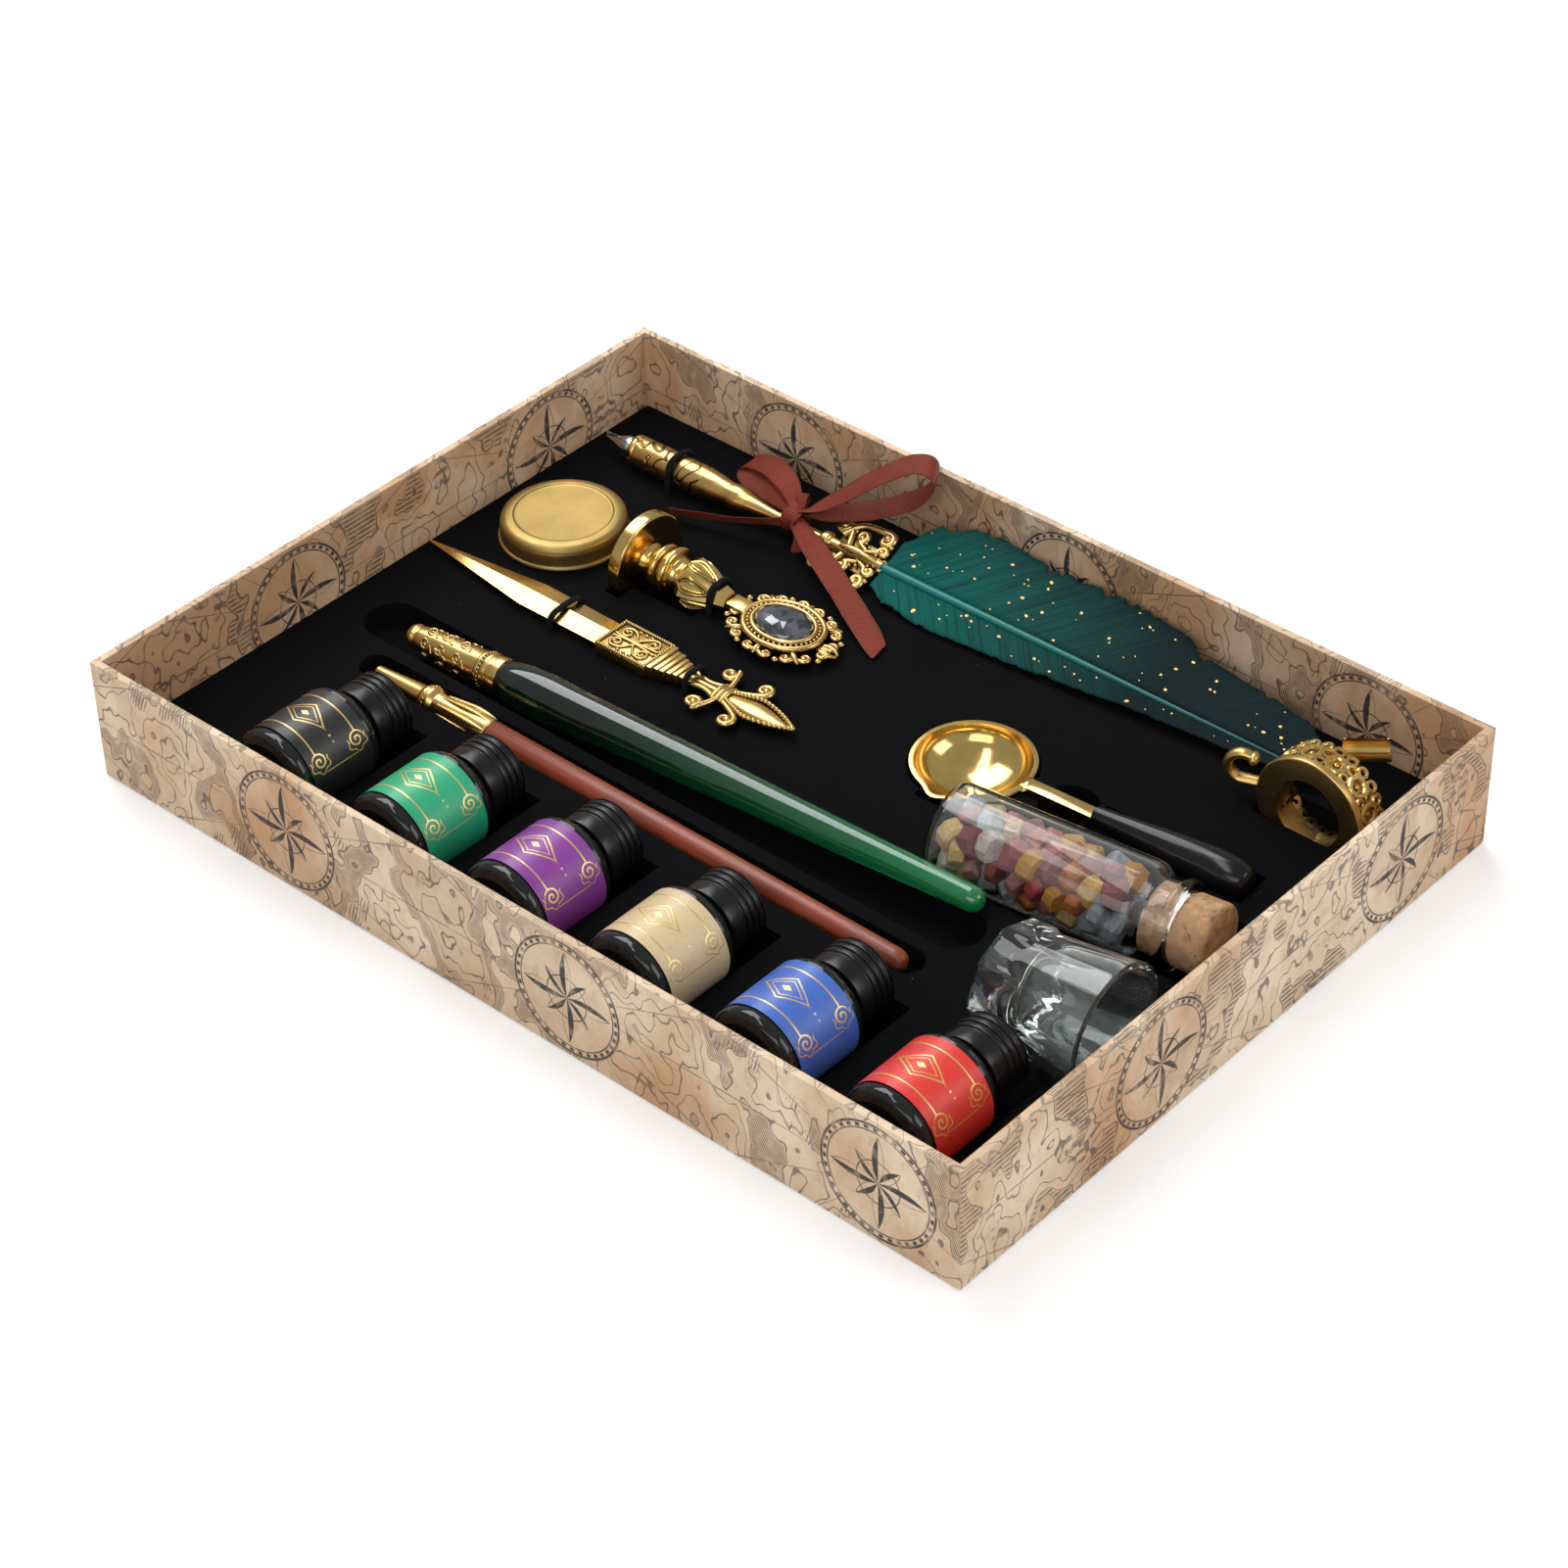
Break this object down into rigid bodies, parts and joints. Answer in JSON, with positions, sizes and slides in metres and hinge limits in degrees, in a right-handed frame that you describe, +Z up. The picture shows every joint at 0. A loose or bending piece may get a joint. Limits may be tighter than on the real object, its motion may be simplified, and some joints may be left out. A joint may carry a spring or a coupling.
{
  "type": "dip pen set",
  "caption": "Calligraphy dip pen set in an open paper-covered tray, with pens, wax stamp, letter opener, spoon, wax beads, cup, stand and ink bottles bedded in black foam.",
  "frame": {"origin": "middle of the tray's underside", "axes": "+X along the pens, feather nib to feather tip; +Y from the ink bottles to the feather; +Z up"},
  "size_m": [0.28, 0.2014, 0.0419],
  "materials": {
    "tray_board": "grey board",
    "outer_wrap": "printed paper, satin",
    "inner_lining": "printed paper, matte",
    "insert_foam": "flocked foam",
    "elastic": "covered elastic",
    "nib_steel": "polished",
    "antique_gold": "cast, antiqued",
    "bright_gold": "polished",
    "tin_gold": "satin gold",
    "quill": "feather shaft",
    "vane": "dyed feather with gold specks",
    "ribbon": "satin ribbon",
    "gem": "faceted",
    "green_glass": "clear dark green",
    "clear_glass": "clear",
    "wood": "stained, satin",
    "black_lacquer": "gloss",
    "cork": "natural cork",
    "wax": "wax, mixed colours",
    "cap": "ribbed",
    "ink": "liquid ink",
    "label_black": "printed with gold border",
    "label_green": "printed with gold border",
    "label_purple": "printed with gold border",
    "label_tan": "printed with gold border",
    "label_blue": "printed with gold border",
    "label_red": "printed with gold border"
  },
  "bodies": {
    "box": {"tray_board": "tray_board", "outer_wrap": "outer_wrap", "inner_lining": "inner_lining", "insert_foam": "insert_foam", "elastic_feather_pen": "elastic", "elastic_stamp": "elastic", "elastic_opener_blade": "elastic", "elastic_opener_neck": "elastic"},
    "feather_pen": {"feather_pen_barrel": "antique_gold", "feather_pen_crest": "antique_gold", "feather_quill": "quill", "feather_vane": "vane", "ribbon_bow": "ribbon"},
    "pen_nib": {"feather_pen_nib": "nib_steel"},
    "tin": {"tin_base": "tin_gold", "spare_nibs": "nib_steel"},
    "lid": {"tin_lid": "tin_gold"},
    "stamp": {"stamp_handle": "antique_gold", "stamp_medallion": "antique_gold", "stamp_gem": "gem"},
    "seal_head": {"stamp_seal_head": "bright_gold"},
    "opener": {"opener_blade": "bright_gold", "opener_handle": "antique_gold"},
    "glass_pen": {"glass_pen_ferrule": "antique_gold", "glass_pen_body": "green_glass"},
    "wood_pen": {"wood_pen_ferrule": "antique_gold", "wood_pen_shaft": "wood"},
    "spoon": {"spoon_bowl": "bright_gold", "spoon_handle": "black_lacquer"},
    "vial": {"vial_glass": "clear_glass", "wax_beads": "wax"},
    "cork": {"vial_cork": "cork"},
    "cup": {"ink_cup": "clear_glass"},
    "stand": {"stand_ring": "antique_gold", "stand_hook": "antique_gold", "stand_trough": "antique_gold"},
    "bottle_black": {"bottle_glass_black": "clear_glass", "bottle_ink_black": "ink", "bottle_label_black": "label_black"},
    "cap_black": {"bottle_cap_black": "cap"},
    "bottle_green": {"bottle_glass_green": "clear_glass", "bottle_ink_green": "ink", "bottle_label_green": "label_green"},
    "cap_green": {"bottle_cap_green": "cap"},
    "bottle_purple": {"bottle_glass_purple": "clear_glass", "bottle_ink_purple": "ink", "bottle_label_purple": "label_purple"},
    "cap_purple": {"bottle_cap_purple": "cap"},
    "bottle_tan": {"bottle_glass_tan": "clear_glass", "bottle_ink_tan": "ink", "bottle_label_tan": "label_tan"},
    "cap_tan": {"bottle_cap_tan": "cap"},
    "bottle_blue": {"bottle_glass_blue": "clear_glass", "bottle_ink_blue": "ink", "bottle_label_blue": "label_blue"},
    "cap_blue": {"bottle_cap_blue": "cap"},
    "bottle_red": {"bottle_glass_red": "clear_glass", "bottle_ink_red": "ink", "bottle_label_red": "label_red"},
    "cap_red": {"bottle_cap_red": "cap"}
  },
  "joints": [
    {"name": "feather_pen_lift", "type": "slide", "parent": "box", "child": "feather_pen", "axis": [0, 0, 1], "range_m": [0, 0.06], "deforming": ["elastic_feather_pen"]},
    {"name": "stamp_lift", "type": "slide", "parent": "box", "child": "stamp", "axis": [0, 0, 1], "range_m": [0, 0.06], "deforming": ["elastic_stamp"]},
    {"name": "opener_lift", "type": "slide", "parent": "box", "child": "opener", "axis": [0, 0, 1], "range_m": [0, 0.06], "deforming": ["elastic_opener_blade", "elastic_opener_neck"]},
    {"name": "tin_lift", "type": "slide", "parent": "box", "child": "tin", "axis": [0, 0, 1], "range_m": [0, 0.06]},
    {"name": "glass_pen_lift", "type": "slide", "parent": "box", "child": "glass_pen", "axis": [0, 0, 1], "range_m": [0, 0.06]},
    {"name": "wood_pen_lift", "type": "slide", "parent": "box", "child": "wood_pen", "axis": [0, 0, 1], "range_m": [0, 0.06]},
    {"name": "spoon_lift", "type": "slide", "parent": "box", "child": "spoon", "axis": [0, 0, 1], "range_m": [0, 0.06]},
    {"name": "vial_lift", "type": "slide", "parent": "box", "child": "vial", "axis": [0, 0, 1], "range_m": [0, 0.06]},
    {"name": "cup_lift", "type": "slide", "parent": "box", "child": "cup", "axis": [0, 0, 1], "range_m": [0, 0.06]},
    {"name": "stand_lift", "type": "slide", "parent": "box", "child": "stand", "axis": [0, 0, 1], "range_m": [0, 0.06]},
    {"name": "bottle_black_lift", "type": "slide", "parent": "box", "child": "bottle_black", "axis": [0, 0, 1], "range_m": [0, 0.06]},
    {"name": "bottle_green_lift", "type": "slide", "parent": "box", "child": "bottle_green", "axis": [0, 0, 1], "range_m": [0, 0.06]},
    {"name": "bottle_purple_lift", "type": "slide", "parent": "box", "child": "bottle_purple", "axis": [0, 0, 1], "range_m": [0, 0.06]},
    {"name": "bottle_tan_lift", "type": "slide", "parent": "box", "child": "bottle_tan", "axis": [0, 0, 1], "range_m": [0, 0.06]},
    {"name": "bottle_blue_lift", "type": "slide", "parent": "box", "child": "bottle_blue", "axis": [0, 0, 1], "range_m": [0, 0.06]},
    {"name": "bottle_red_lift", "type": "slide", "parent": "box", "child": "bottle_red", "axis": [0, 0, 1], "range_m": [0, 0.06]},
    {"name": "nib_pull", "type": "slide", "parent": "feather_pen", "child": "pen_nib", "axis": [-0.9999, -0.0122, 0], "range_m": [0, 0.0058]},
    {"name": "seal_unscrew", "type": "hinge", "parent": "stamp", "child": "seal_head", "pos_m": [-0.086, 0.04, 0.01615], "axis": [0.9993, 0.0209, -0.0314], "range_deg": [0, 360]},
    {"name": "lid_lift", "type": "slide", "parent": "tin", "child": "lid", "axis": [0, 0, 1], "range_m": [0, 0.02]},
    {"name": "cork_pull", "type": "slide", "parent": "vial", "child": "cork", "axis": [0.9934, 0.1149, 0], "range_m": [0, 0.012]},
    {"name": "cap_turn_black", "type": "hinge", "parent": "bottle_black", "child": "cap_black", "pos_m": [-0.0908, -0.0885, 0.0159], "axis": [0, 1, 0], "range_deg": [0, 360]},
    {"name": "cap_turn_green", "type": "hinge", "parent": "bottle_green", "child": "cap_green", "pos_m": [-0.0512, -0.0885, 0.0159], "axis": [0, 1, 0], "range_deg": [0, 360]},
    {"name": "cap_turn_purple", "type": "hinge", "parent": "bottle_purple", "child": "cap_purple", "pos_m": [-0.0116, -0.0885, 0.0159], "axis": [0, 1, 0], "range_deg": [0, 360]},
    {"name": "cap_turn_tan", "type": "hinge", "parent": "bottle_tan", "child": "cap_tan", "pos_m": [0.028, -0.0885, 0.0159], "axis": [0, 1, 0], "range_deg": [0, 360]},
    {"name": "cap_turn_blue", "type": "hinge", "parent": "bottle_blue", "child": "cap_blue", "pos_m": [0.0676, -0.0885, 0.0159], "axis": [0, 1, 0], "range_deg": [0, 360]},
    {"name": "cap_turn_red", "type": "hinge", "parent": "bottle_red", "child": "cap_red", "pos_m": [0.1072, -0.0885, 0.0159], "axis": [0, 1, 0], "range_deg": [0, 360]}
  ]
}
